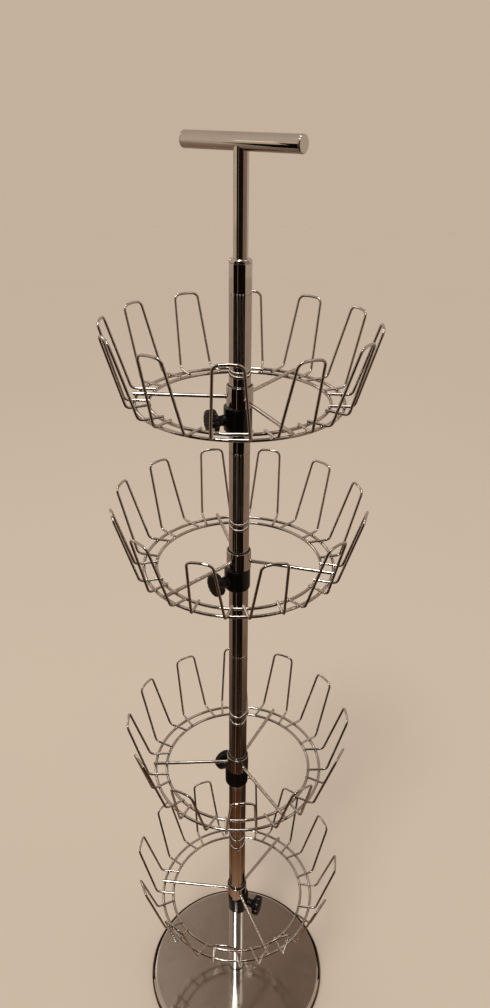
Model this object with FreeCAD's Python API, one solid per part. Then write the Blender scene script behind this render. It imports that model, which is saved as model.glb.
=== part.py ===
import FreeCAD, Part
import math
import os

# Rotating shoe tower. Millimetres, +Z up, origin at the centre of the base's underside.
# Azimuths are in degrees, counter-clockwise from +X.

# Base: a pressed cover over a heavy disc, on a soft pad
base_diameter = 296.0
base_height = 14.0
base_shoulder_radius = 9.0
base_cover_wall = 1.2
base_cover_lift = 1.0
base_pad_thickness = 3.0
base_inner_gap = 1.0

# Bolt that holds the pole to the base from below
bolt_diameter = 8.0
bolt_head_flats = 13.0
bolt_head_height = 4.0
bolt_hole_clearance = 0.5
washer_diameter = 22.0
washer_thickness = 1.5
bolt_well_diameter = 25.0
bolt_web = 2.8

# Pole: three equal tubes on two inner joints, over a thin foot ring
pole_diameter = 25.4
pole_wall = 1.2
pole_length = 1200.0
pole_sections = 3
pole_joint_length = 60.0
pole_joint_bore = 14.0
foot_ring_overhang = 0.8
foot_ring_height = 2.0
foot_ring_edge_radius = 0.7
foot_plug_length = 25.0

# Cap, stem and cross bar of the handle
cap_height = 4.6
cap_edge_radius = 2.6
cap_spigot_length = 25.0
stem_diameter = 16.4
stem_wall = 1.2
handle_bar_diameter = 18.0
handle_bar_wall = 1.5
handle_bar_length = 146.0
handle_height_over_cap = 112.0
handle_azimuth = -35.0
end_cap_thickness = 2.0
end_cap_edge_radius = 1.2
end_cap_spigot_length = 10.0

# Tiers: height of the ring plane over the base, azimuth of the first spoke, azimuth of the knob
top_tier_height = 1048.0
top_basket_azimuth = -64.0
top_knob_azimuth = 204.0
upper_tier_height = 830.0
upper_basket_azimuth = -15.5
upper_knob_azimuth = 216.0
lower_tier_height = 480.0
lower_basket_azimuth = -57.5
lower_knob_azimuth = 126.0
bottom_tier_height = 195.0
bottom_basket_azimuth = -66.5
bottom_knob_azimuth = 340.5

# Hub sleeve and its bush, from the pole outward
bush_wall = 1.7
bush_set_down = 0.8
hub_wall = 1.2
hub_rise = 18.5
hub_drop = 6.8
hub_edge_radius = 0.4

# Rings and spokes of a basket
outer_ring_radius = 120.5
inner_ring_radius = 104.5
ring_wire = 4.0
spoke_count = 3
spoke_wire = 4.5
spoke_overhang = 1.2
spoke_weld_depth = 0.6
weld_sink = 0.3

# Hooks: bent wire, both feet across the two rings
hook_count = 12
hook_wire = 3.2
hook_foot_inset = 1.5
hook_base_radius = 129.5
hook_base_half_width = 20.2
hook_top_radius = 156.0
hook_top_half_width = 15.0
hook_height = 89.0
hook_top_arch = 1.5
hook_foot_bend = 7.0
hook_top_bend = 7.0

# Clamp collar under the hub: off centre, so that its wall is thick on the side of the screw
collar_thin_wall = 1.7
collar_offset = 2.3
collar_height = 30.4
collar_edge_radius = 0.5
collar_foot_radius = 3.5
boss_diameter = 13.5
boss_height = 3.0
boss_edge_radius = 0.7
insert_diameter = 9.0
insert_length = 6.5

# Knob, stud and pressure pad of the clamp
knob_diameter = 30.0
knob_length = 17.2
knob_rim_width = 9.0
knob_edge_radius = 1.8
knob_cone_width = 4.0
knob_neck_diameter = 12.5
knob_boss_gap = 0.8
knob_flutes = 16
knob_flute_radius = 2.0
knob_flute_depth = 1.0
stud_diameter = 6.0
stud_grip = 14.0
pad_thickness = 2.0

# Clearances
running_clearance = 0.06
stud_clearance = 0.05
pad_clearance = 0.15

# Places worked out from the sizes above
base_radius = base_diameter / 2.0
pole_radius = pole_diameter / 2.0
pole_bore_radius = pole_radius - pole_wall
pole_foot = base_height + foot_ring_height
pole_head = pole_foot + pole_length
handle_height = pole_head + cap_height + handle_height_over_cap
bore_radius = pole_radius + running_clearance
hub_bore_radius = bore_radius + bush_wall
hub_radius = hub_bore_radius + hub_wall
collar_radius = bore_radius + collar_thin_wall + collar_offset
collar_top = -hub_drop
collar_bottom = collar_top - collar_height
screw_height = collar_bottom + collar_height / 2.0
boss_reach = collar_offset + collar_radius + boss_height
knob_start = boss_reach + knob_boss_gap
knob_face = knob_start + knob_length
stud_radius = stud_diameter / 2.0
pad_face = bore_radius
stud_tip = pad_face + pad_thickness
above_ring = ring_wire / 2.0 - weld_sink


def vector(x, y, z):
    return FreeCAD.Vector(x, y, z)


def upright(radius, bottom, top):
    """A solid cylinder on the pole's axis."""
    return Part.makeCylinder(radius, top - bottom, vector(0, 0, bottom))


def upright_tube(outer_radius, inner_radius, bottom, top):
    """A tube on the pole's axis."""
    return upright(outer_radius, bottom, top).cut(upright(inner_radius, bottom, top))


def outward(radius, near, far):
    """A solid cylinder along +X."""
    return Part.makeCylinder(radius, far - near, vector(near, 0, 0), vector(1, 0, 0))


def turned(shape, azimuth):
    """A copy turned about the pole's axis."""
    copy = shape.copy()
    copy.rotate(vector(0, 0, 0), vector(0, 0, 1), azimuth)
    return copy


def raised(shape, height):
    """A copy moved up."""
    copy = shape.copy()
    copy.translate(vector(0, 0, height))
    return copy


def around(shape, count):
    """Copies at equal steps about the pole's axis."""
    return [turned(shape, step * 360.0 / count) for step in range(count)]


def circles_at(shape, radius, place):
    """The round edges of one radius whose centre lies at one place."""
    found = []
    for edge in shape.Edges:
        curve = edge.Curve
        if not isinstance(curve, Part.Circle):
            continue
        if abs(curve.Radius - radius) < 1e-4 and curve.Center.distanceToPoint(place) < 1e-4:
            found.append(edge)
    return found


def rounded_rim(shape, radius, place, rounding):
    """The shape with the round edge at that place rounded over."""
    return shape.makeFillet(rounding, circles_at(shape, radius, place))


def bent_path(corners, bends):
    """Straight runs through the corners, each inner corner an arc of its own radius."""
    edges = []
    start = corners[0]
    for before, corner, after, bend in zip(corners, corners[1:], corners[2:], bends):
        toward_before = (before - corner).normalize()
        toward_after = (after - corner).normalize()
        half_angle = toward_before.getAngle(toward_after) / 2.0
        reach = bend / math.tan(half_angle)
        middle = (toward_before + toward_after).normalize()
        entry = corner + toward_before * reach
        leave = corner + toward_after * reach
        crown = corner + middle * (bend / math.sin(half_angle) - bend)
        edges.append(Part.makeLine(start, entry))
        edges.append(Part.Arc(entry, crown, leave).toShape())
        start = leave
    edges.append(Part.makeLine(start, corners[-1]))
    return Part.Wire(edges)


def bent_wire(corners, bends, diameter):
    """A round wire along a bent path."""
    path = bent_path(corners, bends)
    section = Part.makeCircle(diameter / 2.0, corners[0], corners[1] - corners[0])
    return path.makePipeShell([Part.Wire([section])], True, True)


def save(name, solids):
    """Writes one node, from one solid or a group of separate ones."""
    shape = solids[0] if len(solids) == 1 else Part.makeCompound(solids)
    shape.exportStep("parts/" + name + ".step")


def base_cover():
    """Pressed sheet dish, open below, with a hole for the bolt."""
    top = vector(0, 0, base_height)
    under = vector(0, 0, base_height - base_cover_wall)
    inner_radius = base_radius - base_cover_wall
    outside = rounded_rim(
        upright(base_radius, base_cover_lift, base_height), base_radius, top, base_shoulder_radius)
    inside = rounded_rim(
        upright(inner_radius, base_cover_lift, under.z), inner_radius, under,
        base_shoulder_radius - base_cover_wall)
    hole = upright(bolt_diameter / 2.0 + bolt_hole_clearance, 0, base_height)
    return outside.cut(inside).cut(hole)


def base_weight():
    """Heavy disc that fills the cover, with a well for the bolt's head and washer."""
    top = vector(0, 0, base_height - base_cover_wall)
    radius = base_radius - base_cover_wall - base_inner_gap
    disc = rounded_rim(
        upright(radius, base_pad_thickness, top.z), radius, top,
        base_shoulder_radius - base_cover_wall)
    well = upright(bolt_well_diameter / 2.0, 0, top.z - bolt_web)
    hole = upright(bolt_diameter / 2.0 + bolt_hole_clearance, 0, top.z)
    return disc.cut(well).cut(hole)


def base_pad():
    """Soft sheet that the tower stands on, open under the bolt."""
    radius = base_radius - base_cover_wall - base_inner_gap
    return upright_tube(radius, bolt_well_diameter / 2.0, 0, base_pad_thickness)


def base_bolt_parts():
    """The bolt and its washer, up from the well into the pole's foot plug."""
    washer_top = base_height - base_cover_wall - bolt_web
    head_top = washer_top - washer_thickness
    washer = upright_tube(
        washer_diameter / 2.0, bolt_diameter / 2.0 + bolt_hole_clearance, head_top, washer_top)
    corner_radius = bolt_head_flats / math.sqrt(3.0)
    corners = [
        vector(corner_radius * math.cos(math.radians(60 * step)),
               corner_radius * math.sin(math.radians(60 * step)), head_top - bolt_head_height)
        for step in range(7)]
    head = Part.Face(Part.makePolygon(corners)).extrude(vector(0, 0, bolt_head_height))
    shank = upright(bolt_diameter / 2.0, head_top, pole_foot + foot_plug_length)
    return head.fuse(shank).removeSplitter(), washer


def foot_ring():
    """Thin ring that the pole stands on."""
    radius = pole_radius + foot_ring_overhang
    disc = rounded_rim(
        upright(radius, base_height, pole_foot), radius, vector(0, 0, pole_foot),
        foot_ring_edge_radius)
    return disc.cut(upright(bolt_diameter / 2.0 + bolt_hole_clearance, base_height, pole_foot))


def foot_plug():
    """Plug in the pole's lower end, threaded for the bolt."""
    return upright_tube(
        pole_bore_radius, bolt_diameter / 2.0, pole_foot, pole_foot + foot_plug_length)


def pole_section(number):
    """One of the pole's equal tubes, counted from below."""
    length = pole_length / pole_sections
    bottom = pole_foot + number * length
    return upright_tube(pole_radius, pole_bore_radius, bottom, bottom + length)


def pole_joint(number):
    """Sleeve inside the pole, half in each of two sections."""
    middle = pole_foot + number * pole_length / pole_sections
    return upright_tube(
        pole_bore_radius, pole_joint_bore / 2.0,
        middle - pole_joint_length / 2.0, middle + pole_joint_length / 2.0)


def pole_cap():
    """Cap on the pole, with a spigot inside the tube and a bore that holds the stem."""
    top = vector(0, 0, pole_head + cap_height)
    head = rounded_rim(
        upright(pole_radius, pole_head, top.z), pole_radius, top, cap_edge_radius)
    spigot = upright(pole_bore_radius, pole_head - cap_spigot_length, pole_head)
    bore = upright(stem_diameter / 2.0, pole_head - cap_spigot_length, top.z)
    return head.fuse(spigot).cut(bore)


def along_handle(shape):
    """A piece made along X, put on the line of the cross bar."""
    return raised(turned(shape, handle_azimuth), handle_height)


def handle_stem():
    """Tube from the cap up to the cross bar, its top end coped to the bar."""
    bottom = pole_head - cap_spigot_length
    tube = upright_tube(
        stem_diameter / 2.0, stem_diameter / 2.0 - stem_wall, bottom, handle_height)
    half = handle_bar_length / 2.0
    return tube.cut(along_handle(outward(handle_bar_diameter / 2.0, -half, half)))


def handle_bar():
    """Cross bar, open at both ends for the end caps."""
    half = handle_bar_length / 2.0 - end_cap_thickness
    bar = outward(handle_bar_diameter / 2.0, -half, half)
    return along_handle(bar.cut(outward(handle_bar_diameter / 2.0 - handle_bar_wall, -half, half)))


def handle_end_caps():
    """Flat caps with a softened edge, pressed into both ends of the bar."""
    far = handle_bar_length / 2.0
    near = far - end_cap_thickness
    radius = handle_bar_diameter / 2.0
    disc = rounded_rim(outward(radius, near, far), radius, vector(far, 0, 0), end_cap_edge_radius)
    spigot = outward(radius - handle_bar_wall, near - end_cap_spigot_length, near)
    cap = disc.fuse(spigot)
    return [along_handle(cap), along_handle(turned(cap, 180))]


def hub():
    """Sleeve of a basket; the ring plane is at height 0."""
    sleeve = upright(hub_radius, -hub_drop, hub_rise)
    for height in (-hub_drop, hub_rise):
        sleeve = rounded_rim(sleeve, hub_radius, vector(0, 0, height), hub_edge_radius)
    return sleeve.cut(upright(hub_bore_radius, -hub_drop, hub_rise))


def hub_bush():
    """Plastic bush in the hub that turns on the pole."""
    return upright_tube(hub_bore_radius, bore_radius, -hub_drop, hub_rise - bush_set_down)


def spokes():
    """Straight rods from the hub out over both rings."""
    tip = outer_ring_radius + ring_wire / 2.0 + spoke_overhang
    rod = outward(spoke_wire / 2.0, hub_radius - spoke_weld_depth, tip)
    return around(raised(rod, above_ring + spoke_wire / 2.0), spoke_count)


def ring(radius):
    """Wire ring in the ring plane."""
    return Part.makeTorus(radius, ring_wire / 2.0)


def hooks():
    """Bent wires around the rings; the feet lie on both rings."""
    foot_height = above_ring + hook_wire / 2.0
    foot_end = math.sqrt((inner_ring_radius - hook_foot_inset) ** 2 - hook_base_half_width ** 2)
    corners = [
        vector(foot_end, -hook_base_half_width, foot_height),
        vector(hook_base_radius, -hook_base_half_width, foot_height),
        vector(hook_top_radius, -hook_top_half_width, hook_height),
        vector(hook_top_radius, 0, hook_height + hook_top_arch),
        vector(hook_top_radius, hook_top_half_width, hook_height),
        vector(hook_base_radius, hook_base_half_width, foot_height),
        vector(foot_end, hook_base_half_width, foot_height)]
    arch_bend = (hook_top_half_width - hook_top_bend * 1.4) * hook_top_half_width / hook_top_arch
    bends = [hook_foot_bend, hook_top_bend, arch_bend, hook_top_bend, hook_foot_bend]
    return around(bent_wire(corners, bends, hook_wire), hook_count)


def clamp_collar():
    """Collar that carries the hub, with a boss for the screw, which points along +X."""
    body = upright(collar_radius, collar_bottom, collar_top)
    body.translate(vector(collar_offset, 0, 0))
    for height, rounding in (
            (collar_top, collar_edge_radius), (collar_bottom, collar_foot_radius)):
        body = rounded_rim(body, collar_radius, vector(collar_offset, 0, height), rounding)
    boss = rounded_rim(
        outward(boss_diameter / 2.0, 0, boss_reach), boss_diameter / 2.0,
        vector(boss_reach, 0, 0), boss_edge_radius)
    insert_seat = outward(insert_diameter / 2.0, boss_reach - insert_length, boss_reach)
    pad_way = outward(stud_radius + stud_clearance, 0, boss_reach)
    body = body.fuse(raised(boss, screw_height))
    body = body.cut(upright(bore_radius, collar_bottom, collar_top))
    return body.cut(raised(insert_seat, screw_height)).cut(raised(pad_way, screw_height))


def clamp_insert():
    """Threaded insert in the collar's boss."""
    near = boss_reach - insert_length
    body = outward(insert_diameter / 2.0, near, boss_reach)
    return raised(body.cut(outward(stud_radius + stud_clearance, near, boss_reach)), screw_height)


def clamp_pad():
    """Pad between the stud's tip and the pole."""
    return raised(outward(stud_radius + stud_clearance - pad_clearance, pad_face, stud_tip),
                  screw_height)


def clamp_stud():
    """Steel stud, moulded into the knob."""
    return raised(outward(stud_radius, stud_tip, knob_start + stud_grip), screw_height)


def clamp_knob():
    """Round fluted knob with a conical back and a short neck."""
    radius = knob_diameter / 2.0
    rim_start = knob_face - knob_rim_width
    cone_start = rim_start - knob_cone_width
    profile = Part.makePolygon([
        vector(knob_start, 0, 0),
        vector(knob_start, knob_neck_diameter / 2.0, 0),
        vector(cone_start, knob_neck_diameter / 2.0, 0),
        vector(rim_start, radius, 0),
        vector(knob_face, radius, 0),
        vector(knob_face, 0, 0),
        vector(knob_start, 0, 0)])
    body = Part.Face(profile).revolve(vector(0, 0, 0), vector(1, 0, 0), 360)
    body = rounded_rim(body, radius, vector(knob_face, 0, 0), knob_edge_radius)
    flute = outward(knob_flute_radius, cone_start, knob_face)
    flute.translate(vector(0, radius + knob_flute_radius - knob_flute_depth, 0))
    for step in range(knob_flutes):
        groove = flute.copy()
        groove.rotate(vector(0, 0, 0), vector(1, 0, 0), step * 360.0 / knob_flutes)
        body = body.cut(groove)
    hole = outward(stud_radius, knob_start, knob_start + stud_grip)
    return raised(body.cut(hole), screw_height)


def save_stand():
    """The base, the pole and the handle, which stay still."""
    bolt, washer = base_bolt_parts()
    save("base_cover", [base_cover()])
    save("base_weight", [base_weight()])
    save("base_pad", [base_pad()])
    save("base_bolt", [bolt])
    save("base_washer", [washer])
    save("foot_ring", [foot_ring()])
    save("pole_foot_plug", [foot_plug()])
    for number, place in enumerate(("lower", "middle", "upper")):
        save("pole_" + place, [pole_section(number)])
    save("pole_joints", [pole_joint(number) for number in range(1, pole_sections)])
    save("pole_cap", [pole_cap()])
    save("handle_stem", [handle_stem()])
    save("handle_bar", [handle_bar()])
    save("handle_end_caps", handle_end_caps())


def save_tier(name, height, basket_azimuth, knob_azimuth):
    """One basket and the clamp that carries it."""
    ring_plane = base_height + height
    basket = {
        "hub": [hub()],
        "hub_bush": [hub_bush()],
        "spokes": spokes(),
        "inner_ring": [ring(inner_ring_radius)],
        "outer_ring": [ring(outer_ring_radius)],
        "hooks": hooks()}
    clamp = {
        "clamp_collar": [clamp_collar()],
        "clamp_insert": [clamp_insert()],
        "clamp_pad": [clamp_pad()],
        "clamp_stud": [clamp_stud()],
        "clamp_knob": [clamp_knob()]}
    for pieces, azimuth in ((basket, basket_azimuth), (clamp, knob_azimuth)):
        for piece, solids in pieces.items():
            placed = [raised(turned(solid, azimuth), ring_plane) for solid in solids]
            save(piece + "_" + name, placed)


os.makedirs("parts", exist_ok=True)
save_stand()
save_tier("top", top_tier_height, top_basket_azimuth, top_knob_azimuth)
save_tier("upper", upper_tier_height, upper_basket_azimuth, upper_knob_azimuth)
save_tier("lower", lower_tier_height, lower_basket_azimuth, lower_knob_azimuth)
save_tier("bottom", bottom_tier_height, bottom_basket_azimuth, bottom_knob_azimuth)
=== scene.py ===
import math

import bmesh
import bpy
from mathutils import Matrix, Vector


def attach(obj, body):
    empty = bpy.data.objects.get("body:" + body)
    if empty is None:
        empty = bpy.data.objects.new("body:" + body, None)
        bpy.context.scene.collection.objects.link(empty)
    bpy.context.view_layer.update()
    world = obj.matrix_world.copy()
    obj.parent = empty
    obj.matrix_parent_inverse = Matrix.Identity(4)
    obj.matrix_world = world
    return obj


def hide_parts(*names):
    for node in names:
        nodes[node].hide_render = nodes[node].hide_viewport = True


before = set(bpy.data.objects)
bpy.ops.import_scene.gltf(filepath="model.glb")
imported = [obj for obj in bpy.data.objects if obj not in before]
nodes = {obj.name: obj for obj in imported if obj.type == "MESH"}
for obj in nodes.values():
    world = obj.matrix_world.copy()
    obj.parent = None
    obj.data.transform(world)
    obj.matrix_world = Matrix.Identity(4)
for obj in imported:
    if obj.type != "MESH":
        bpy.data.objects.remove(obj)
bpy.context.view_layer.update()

# ------------------------------
# BASE PAD
# A soft black sheet glued under the base, so that the tower stands quietly and doesn't scratch.
# Its edge is cut, and it is open in the middle for the bolt.
# ------------------------------


def finish_of(name):
    """A new material with its nodes, its shader and a texture coordinate fixed to the object."""
    material = bpy.data.materials.new(name)
    material.use_nodes = True
    tree = material.node_tree
    shader = next(node for node in tree.nodes if node.type == "BSDF_PRINCIPLED")
    place = tree.nodes.new("ShaderNodeTexCoord")
    return material, tree, shader, place.outputs["Object"]


def feed(tree, socket, value):
    """Links a socket to a node's input, or sets the input to a plain value."""
    if isinstance(value, bpy.types.NodeSocket):
        tree.links.new(value, socket)
    else:
        socket.default_value = value


def put(tree, kind, settings=None, **inputs):
    """Adds a node, sets its properties, and sets or links its inputs by name."""
    node = tree.nodes.new(kind)
    for name, value in (settings or {}).items():
        setattr(node, name, value)
    for name, value in inputs.items():
        feed(tree, node.inputs[name.replace("_", " ")], value)
    return node


def reckon(tree, operation, *values):
    """A math node's result."""
    node = put(tree, "ShaderNodeMath", {"operation": operation})
    for socket, value in zip(node.inputs, values):
        feed(tree, socket, value)
    return node.outputs[0]


def ranged(tree, value, source, target=(0.0, 1.0), kind="LINEAR"):
    """A value carried over from one range to another."""
    return put(tree, "ShaderNodeMapRange", {"interpolation_type": kind}, Value=value,
               From_Min=source[0], From_Max=source[1], To_Min=target[0],
               To_Max=target[1]).outputs["Result"]


def mixed(tree, share, *colours):
    """The colour between two, by a share of the second."""
    node = put(tree, "ShaderNodeMix", {"data_type": "RGBA"}, Factor=share)
    for socket, colour in zip(node.inputs[6:8], colours):
        feed(tree, socket, colour)
    return node.outputs[2]


def toned(tree, share, tones):
    """The colour at a share from 0 to 1 along a row of (share, colour) tones."""
    ramp = put(tree, "ShaderNodeValToRGB", Fac=share)
    stops = ramp.color_ramp.elements
    for position, colour in tones[1:-1]:
        stops.new(position)
    for stop, (position, colour) in zip(sorted(stops, key=lambda stop: stop.position), tones):
        stop.position = position
        stop.color = colour
    return ramp.outputs["Color"]


def effect_group(name, **inputs):
    """A shader node group with inputs named by kind, that gives colour, roughness and height."""
    group = bpy.data.node_groups.new(name, "ShaderNodeTree")
    for kind, labels in inputs.items():
        for label in labels:
            group.interface.new_socket(label, in_out="INPUT", socket_type="NodeSocket" + kind)
    for label, kind in (("Color", "Color"), ("Roughness", "Float"), ("Height", "Float")):
        group.interface.new_socket(label, in_out="OUTPUT", socket_type="NodeSocket" + kind)
    given = group.nodes.new("NodeGroupInput").outputs
    return group, given, group.nodes.new("NodeGroupOutput").inputs


def moulded_grain_group():
    """Fine grain of a moulded or cut surface, rubbed paler here and there."""
    group, given, result = effect_group(
        "moulded grain", Vector=["Place"], Color=["Body", "Rubbed"],
        Float=["Grain scale", "Low roughness", "High roughness"])
    grain = put(group, "ShaderNodeTexNoise", Vector=given["Place"], Scale=given["Grain scale"],
                Detail=3.0, Roughness=0.6)
    patches = put(group, "ShaderNodeTexNoise", Vector=given["Place"], Scale=95.0, Detail=4.0,
                  Roughness=0.55).outputs["Fac"]
    rubbed = ranged(group, patches, (0.5, 0.78), (0.0, 0.75))
    feed(group, result["Color"], mixed(group, rubbed, given["Body"], given["Rubbed"]))
    feed(group, result["Roughness"], ranged(
        group, patches, (0.3, 0.7), (given["High roughness"], given["Low roughness"])))
    feed(group, result["Height"], grain.outputs["Fac"])
    return group


moulded_grain = moulded_grain_group()
grain_relief = 0.6


def dress(tree, shader, effect, relief_strength, relief_depth):
    """Gives a shader an effect group's colour, roughness and relief, its depth in metres."""
    relief = put(tree, "ShaderNodeBump", Strength=relief_strength, Distance=relief_depth,
                 Height=effect.outputs["Height"])
    feed(tree, shader.inputs["Base Color"], effect.outputs["Color"])
    feed(tree, shader.inputs["Roughness"], effect.outputs["Roughness"])
    feed(tree, shader.inputs["Normal"], relief.outputs["Normal"])


def moulded(name, body, rubbed, roughness, grain_scale, grain_depth, gloss=0.5):
    """A plastic or rubber material with fine grain. Gloss is how much it mirrors head on."""
    material, tree, shader, place = finish_of(name)
    shader.inputs["Specular IOR Level"].default_value = gloss
    grain = put(tree, "ShaderNodeGroup", {"node_tree": moulded_grain}, Place=place,
                Grain_scale=grain_scale, Body=body, Rubbed=rubbed,
                Low_roughness=roughness[0], High_roughness=roughness[1])
    dress(tree, shader, grain, grain_relief, grain_depth)
    return material


def refinish(node, material):
    """Gives a CAD piece its finish."""
    slots = nodes[node].data.materials
    slots.clear()
    slots.append(material)


refinish("base_pad", moulded(
    "soft_sheet", (0.035, 0.035, 0.036, 1), (0.075, 0.073, 0.07, 1), (0.8, 0.95), 900.0, 0.0002))

# ------------------------------
# BASE WEIGHT
# A round iron casting, left as it comes from the sand, that keeps the loaded tower upright.
# Only its edge and underside could ever be seen.
# ------------------------------

refinish("base_weight", moulded(
    "sand_cast_iron", (0.10, 0.10, 0.105, 1), (0.17, 0.15, 0.135, 1), (0.6, 0.85), 420.0, 0.0005))

# ------------------------------
# BASE COVER
# A steel pressing, about 300 mm across, with a shoulder rolled over to a short skirt. It is
# polished and chromed, so its top is a mirror, not quite even, with dust and smears.
# ------------------------------


def softened(outline):
    """Points of an outline of (radius, height, rounding) corners, its rounded corners as arcs."""
    arc_steps = 6
    points = []
    count = len(outline)
    for index, (radius, height, rounding) in enumerate(outline):
        here = Vector((radius, height))
        if not rounding:
            points.append(here)
            continue
        before = Vector(outline[index - 1][:2]) - here
        after = Vector(outline[(index + 1) % count][:2]) - here
        before.normalize()
        after.normalize()
        half_angle = before.angle(after) / 2
        centre = here + (before + after).normalized() * (rounding / math.sin(half_angle))
        start = here + before * (rounding / math.tan(half_angle)) - centre
        end = here + after * (rounding / math.tan(half_angle)) - centre
        for step in range(arc_steps + 1):
            points.append(centre + start.slerp(end, step / arc_steps) * rounding)
    return held_straight(points)


def held_straight(points):
    """The same points with one more beside each end of a long straight, so that it shades flat."""
    hold = 0.25
    held = []
    for index, point in enumerate(points):
        following = points[(index + 1) % len(points)]
        step = (following - point).normalized() * hold
        held.append(point)
        if (following - point).length > 6 * hold:
            held += [point + step, following - step]
    return held


def turned_mesh(name, outline, place, segments):
    """A closed shape of revolution about the Z axis, from corners in millimetres, then placed."""
    points = softened(outline)
    shape = bmesh.new()
    rims = []
    for point in points:
        rims.append([shape.verts.new((
            point.x * math.cos(2 * math.pi * step / segments) / 1000,
            point.x * math.sin(2 * math.pi * step / segments) / 1000, point.y / 1000))
            for step in range(segments if point.x else 1)])
    for index, rim in enumerate(rims):
        following = rims[(index + 1) % len(rims)]
        if len(rim) == len(following) == 1:
            continue
        for step in range(segments):
            beside = (step + 1) % segments
            corners = [rim[step % len(rim)], rim[beside % len(rim)],
                       following[beside % len(following)], following[step % len(following)]]
            shape.faces.new(list(dict.fromkeys(corners)))
    bmesh.ops.recalc_face_normals(shape, faces=shape.faces)
    shape.transform(place)
    mesh = bpy.data.meshes.new(name)
    shape.to_mesh(mesh)
    shape.free()
    return mesh


round_segments = 96


def shaded(mesh, sharp_angle=38.0):
    """Smooths a mesh but for its edges that are sharper than an angle in degrees."""
    mesh.shade_smooth()
    mesh.set_sharp_from_angle(angle=math.radians(sharp_angle))


def new_piece(name, mesh, material):
    """A finished piece at the origin, smooth but for its sharp edges."""
    shaded(mesh)
    mesh.materials.clear()
    mesh.materials.append(material)
    piece = bpy.data.objects.new(name, mesh)
    bpy.context.scene.collection.objects.link(piece)
    return piece


def turned_piece(name, outline, material, place=Matrix.Identity(4), segments=round_segments):
    """A piece turned about the pole's axis or another line."""
    return new_piece(name, turned_mesh(name, outline, place, segments), material)


def stands_for(piece, node, body):
    """Puts a piece in the place of a CAD node."""
    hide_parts(node)
    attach(piece, body)


def handled_plating_group():
    """Smears and dust specks on bright plating that isn't quite even."""
    group, given, result = effect_group(
        "handled plating", Vector=["Place"], Color=["Bright", "Dull"],
        Float=["Smear scale", "Polish", "Smear", "Speck scale"])
    smears = put(group, "ShaderNodeTexNoise", Vector=given["Place"], Scale=given["Smear scale"],
                 Detail=6.0, Roughness=0.62, Distortion=0.6).outputs["Fac"]
    specks = put(group, "ShaderNodeTexVoronoi", Vector=given["Place"],
                 Scale=given["Speck scale"], Randomness=1.0)
    smeared = reckon(group, "MULTIPLY", ranged(group, smears, (0.47, 0.74)), 0.55)
    marks = reckon(group, "MAXIMUM", smeared, ranged(
        group, specks.outputs["Distance"], (0.05, 0.09), (1.0, 0.0)))
    feed(group, result["Color"], mixed(group, marks, given["Bright"], given["Dull"]))
    feed(group, result["Roughness"], reckon(
        group, "ADD", given["Polish"], reckon(group, "MULTIPLY", marks, given["Smear"])))
    feed(group, result["Height"], smears)
    return group


handled_plating = handled_plating_group()
plating_relief = 0.5


def plated(name, bright, dull, polish, smear, smear_scale, speck_scale, ripple):
    """Bright chrome plate on steel. Ripple is the depth of its unevenness in metres."""
    material, tree, shader, place = finish_of(name)
    shader.inputs["Metallic"].default_value = 1.0
    plating = put(tree, "ShaderNodeGroup", {"node_tree": handled_plating}, Place=place,
                  Smear_scale=smear_scale, Polish=polish, Smear=smear, Bright=bright, Dull=dull,
                  Speck_scale=speck_scale)
    dress(tree, shader, plating, plating_relief, ripple)
    return material


cover_radius = 148.0
cover_top = 14.0
cover_bottom = 1.0
cover_wall = 1.2
cover_shoulder = 9.0
cover_edge = 0.3
cover_hole_radius = 4.5
cover_segments = 192
cover_chrome = plated(
    "cover_chrome", (0.575, 0.545, 0.51, 1), (0.36, 0.33, 0.295, 1), 0.08, 0.16, 16.0, 46.0,
    0.00003)
cover = turned_piece("base_cover_pressing", [
    (cover_radius, cover_bottom, cover_edge),
    (cover_radius, cover_top, cover_shoulder),
    (cover_hole_radius, cover_top, 0),
    (cover_hole_radius, cover_top - cover_wall, 0),
    (cover_radius - cover_wall, cover_top - cover_wall, cover_shoulder - cover_wall),
    (cover_radius - cover_wall, cover_bottom, cover_edge)], cover_chrome, segments=cover_segments)
stands_for(cover, "base_cover", "stand")

# ------------------------------
# BASE BOLT AND WASHER
# A zinc plated steel bolt with a broad washer, pushed up from a well in the weight and screwed
# into the pole's foot plug. Out of sight when the tower stands.
# ------------------------------


def clouded_metal(name, cloud_scale, cloud_detail, tones, roughness):
    """Metal whose tone and polish are a little uneven, as on zinc plate or turned brass."""
    material, tree, shader, place = finish_of(name)
    shader.inputs["Metallic"].default_value = 1.0
    clouds = put(tree, "ShaderNodeTexNoise", Vector=place, Scale=cloud_scale,
                 Detail=cloud_detail).outputs["Fac"]
    feed(tree, shader.inputs["Base Color"], toned(tree, clouds, tones))
    feed(tree, shader.inputs["Roughness"], ranged(tree, clouds, (0.0, 1.0), roughness))
    return material


zinc = clouded_metal(
    "zinc_plate", 240.0, 4.0, [(0.32, (0.50, 0.52, 0.55, 1)), (0.68, (0.64, 0.64, 0.62, 1))],
    (0.26, 0.5))
for hidden_fixing in ("base_bolt", "base_washer", "pole_foot_plug", "pole_joints"):
    refinish(hidden_fixing, zinc)

# ------------------------------
# POLE
# Three chromed steel tubes of 25.4 mm, butted end to end over inner sleeves. Their ends are
# slightly rounded, which leaves a fine line at each joint. They stand on a thin ring coloured
# much darker than the pole.
# ------------------------------

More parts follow.
